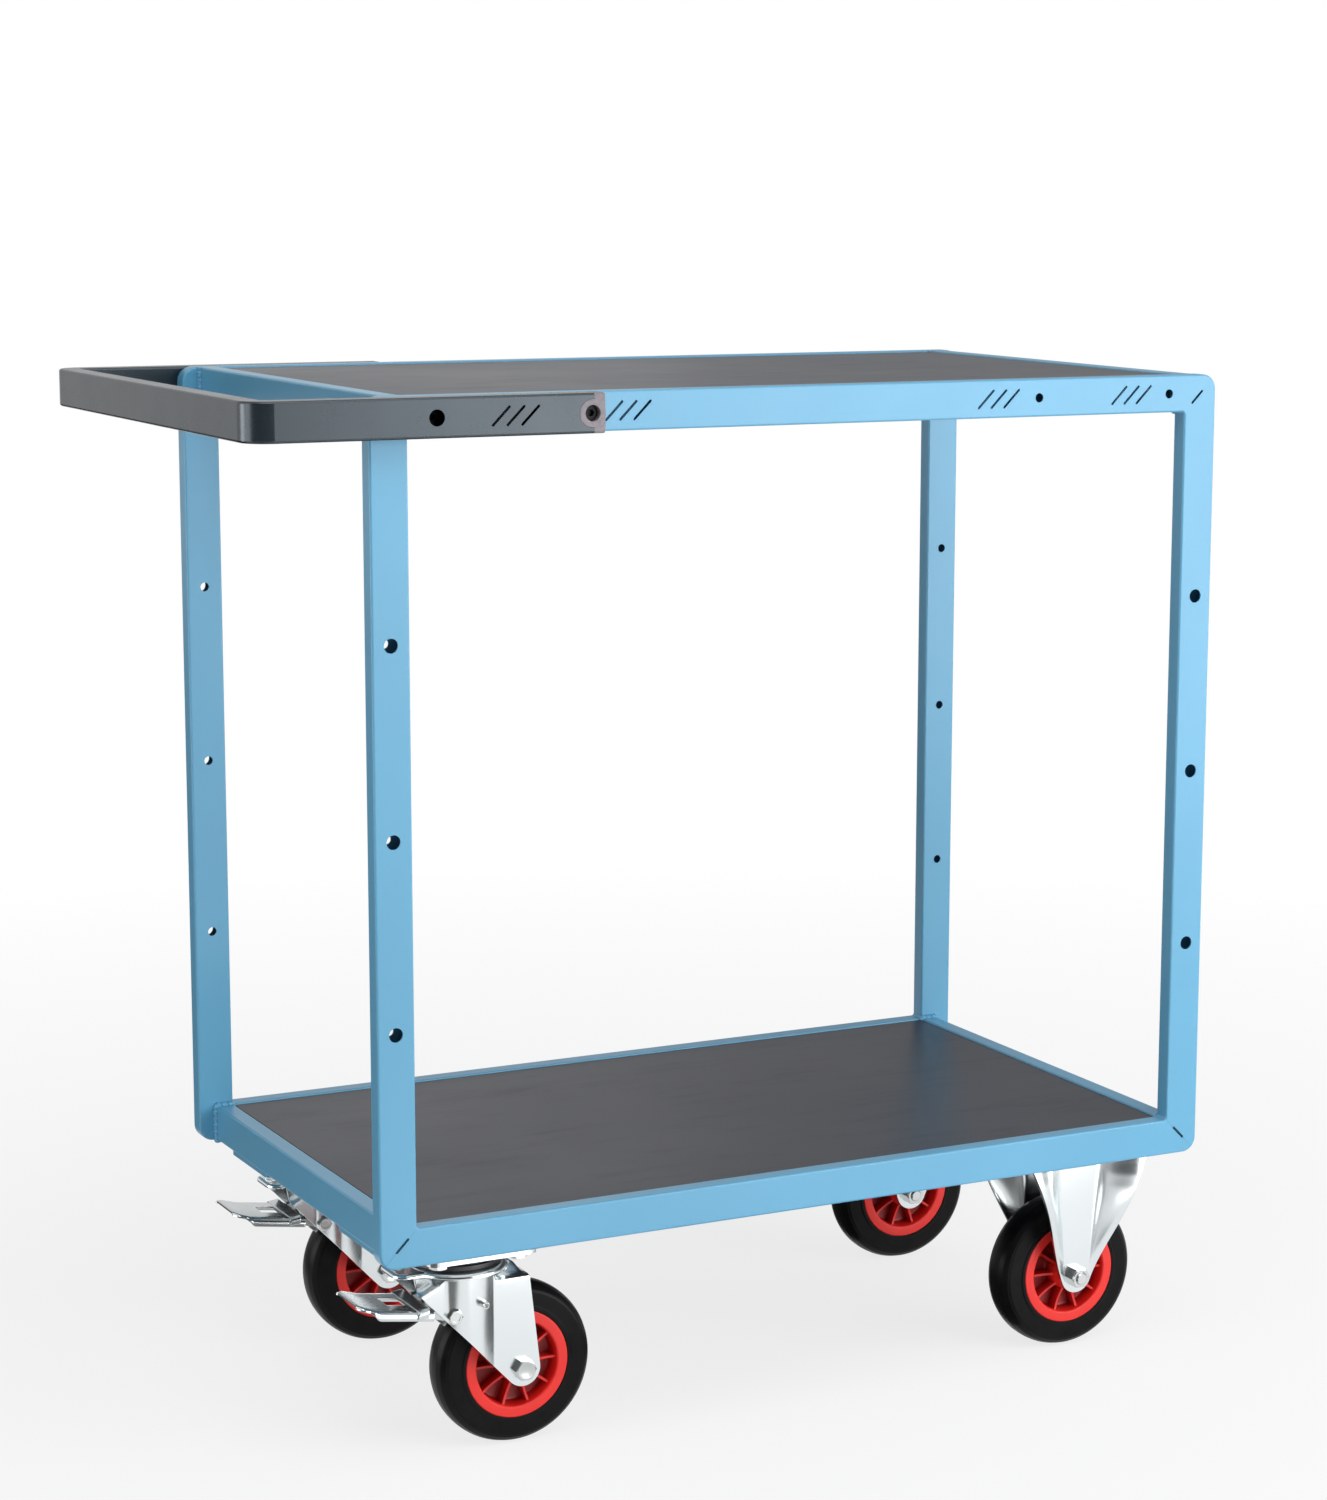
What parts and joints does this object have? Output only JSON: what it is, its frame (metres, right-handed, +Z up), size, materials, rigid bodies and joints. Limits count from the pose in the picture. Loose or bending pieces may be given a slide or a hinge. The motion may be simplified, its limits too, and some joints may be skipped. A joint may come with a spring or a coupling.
{
  "type": "service cart",
  "caption": "Two-deck tubular workshop service cart with a push handle at one end, braked swivel casters under the handle and fixed casters at the other end.",
  "frame": {"origin": "on the floor, under the middle of the cart's outline with its handle", "axes": "+X along the cart towards the fixed casters, away from the push handle; +Y across the cart; +Z up"},
  "size_m": [1.02, 0.557, 1.0105],
  "materials": {
    "frame_paint": "light blue satin powder coat",
    "handle_paint": "dark grey fine-texture powder coat",
    "cap_plastic": "moulded warm grey, matt",
    "deck_board": "dark film-faced plywood, satin",
    "zinc_steel": "bright zinc-plated pressed sheet",
    "bearing_steel": "oiled dark bearing ring",
    "black_bolt": "black-oxide socket screws",
    "bolt_steel": "zinc-plated fasteners",
    "tyre_rubber": "smooth black rubber tread",
    "rim_plastic": "moulded red nylon, semi-gloss"
  },
  "bodies": {
    "chassis": {"upper_bow_front": "frame_paint", "lower_bow_front": "frame_paint", "upper_ledge_front": "frame_paint", "lower_ledge_front": "frame_paint", "handle_cap_front": "cap_plastic", "upper_bow_back": "frame_paint", "lower_bow_back": "frame_paint", "upper_ledge_back": "frame_paint", "lower_ledge_back": "frame_paint", "handle_cap_back": "cap_plastic", "upper_cross_tube_push": "frame_paint", "lower_cross_tube_push": "frame_paint", "mount_plate_push_front": "frame_paint", "mount_plate_push_back": "frame_paint", "upper_cross_tube_lead": "frame_paint", "lower_cross_tube_lead": "frame_paint", "mount_plate_lead_front": "frame_paint", "mount_plate_lead_back": "frame_paint", "upper_deck": "deck_board", "lower_deck": "deck_board", "deck_screws": "bolt_steel", "push_handle": "handle_paint", "handle_bolts": "black_bolt", "caster_bolts": "bolt_steel", "caster_nuts": "bolt_steel", "fixed_fork_front": "zinc_steel", "fixed_fork_back": "zinc_steel", "fixed_axle_bolts": "bolt_steel", "fixed_axle_nuts": "bolt_steel", "swivel_plate_front": "zinc_steel", "king_pin_front": "bolt_steel", "swivel_plate_back": "zinc_steel", "king_pin_back": "bolt_steel"},
    "swivel_front": {"swivel_fork_front": "zinc_steel", "bearing_ring_front": "bearing_steel", "swivel_axle_front": "bolt_steel", "swivel_nut_front": "bolt_steel", "fork_pins_front": "bolt_steel"},
    "brake_front": {"pedal_front": "zinc_steel", "pedal_strap_front": "zinc_steel"},
    "wheel_swivel_front": {"tyre_swivel_front": "tyre_rubber", "rim_swivel_front": "rim_plastic", "sleeve_swivel_front": "bolt_steel"},
    "wheel_fixed_front": {"tyre_fixed_front": "tyre_rubber", "rim_fixed_front": "rim_plastic", "sleeve_fixed_front": "bolt_steel"},
    "swivel_back": {"swivel_fork_back": "zinc_steel", "bearing_ring_back": "bearing_steel", "swivel_axle_back": "bolt_steel", "swivel_nut_back": "bolt_steel", "fork_pins_back": "bolt_steel"},
    "brake_back": {"pedal_back": "zinc_steel", "pedal_strap_back": "zinc_steel"},
    "wheel_swivel_back": {"tyre_swivel_back": "tyre_rubber", "rim_swivel_back": "rim_plastic", "sleeve_swivel_back": "bolt_steel"},
    "wheel_fixed_back": {"tyre_fixed_back": "tyre_rubber", "rim_fixed_back": "rim_plastic", "sleeve_fixed_back": "bolt_steel"}
  },
  "joints": [
    {"name": "swivel_turn_front", "type": "hinge", "parent": "chassis", "child": "swivel_front", "pos_m": [-0.278, -0.1687, 0.19], "axis": [0, 0, 1], "continuous": true},
    {"name": "brake_tread_front", "type": "hinge", "parent": "swivel_front", "child": "brake_front", "pos_m": [-0.29605, -0.1687, 0.14329], "axis": [0, -1, 0], "range_deg": [0, 15]},
    {"name": "roll_swivel_front", "type": "hinge", "parent": "swivel_front", "child": "wheel_swivel_front", "pos_m": [-0.224, -0.1687, 0.08], "axis": [0, 1, 0], "continuous": true},
    {"name": "roll_fixed_front", "type": "hinge", "parent": "chassis", "child": "wheel_fixed_front", "pos_m": [0.4025, -0.1687, 0.08], "axis": [0, 1, 0], "continuous": true},
    {"name": "swivel_turn_back", "type": "hinge", "parent": "chassis", "child": "swivel_back", "pos_m": [-0.278, 0.1687, 0.19], "axis": [0, 0, 1], "continuous": true},
    {"name": "brake_tread_back", "type": "hinge", "parent": "swivel_back", "child": "brake_back", "pos_m": [-0.29605, 0.1687, 0.14329], "axis": [0, -1, 0], "range_deg": [0, 15]},
    {"name": "roll_swivel_back", "type": "hinge", "parent": "swivel_back", "child": "wheel_swivel_back", "pos_m": [-0.224, 0.1687, 0.08], "axis": [0, 1, 0], "continuous": true},
    {"name": "roll_fixed_back", "type": "hinge", "parent": "chassis", "child": "wheel_fixed_back", "pos_m": [0.4025, 0.1687, 0.08], "axis": [0, 1, 0], "continuous": true}
  ]
}
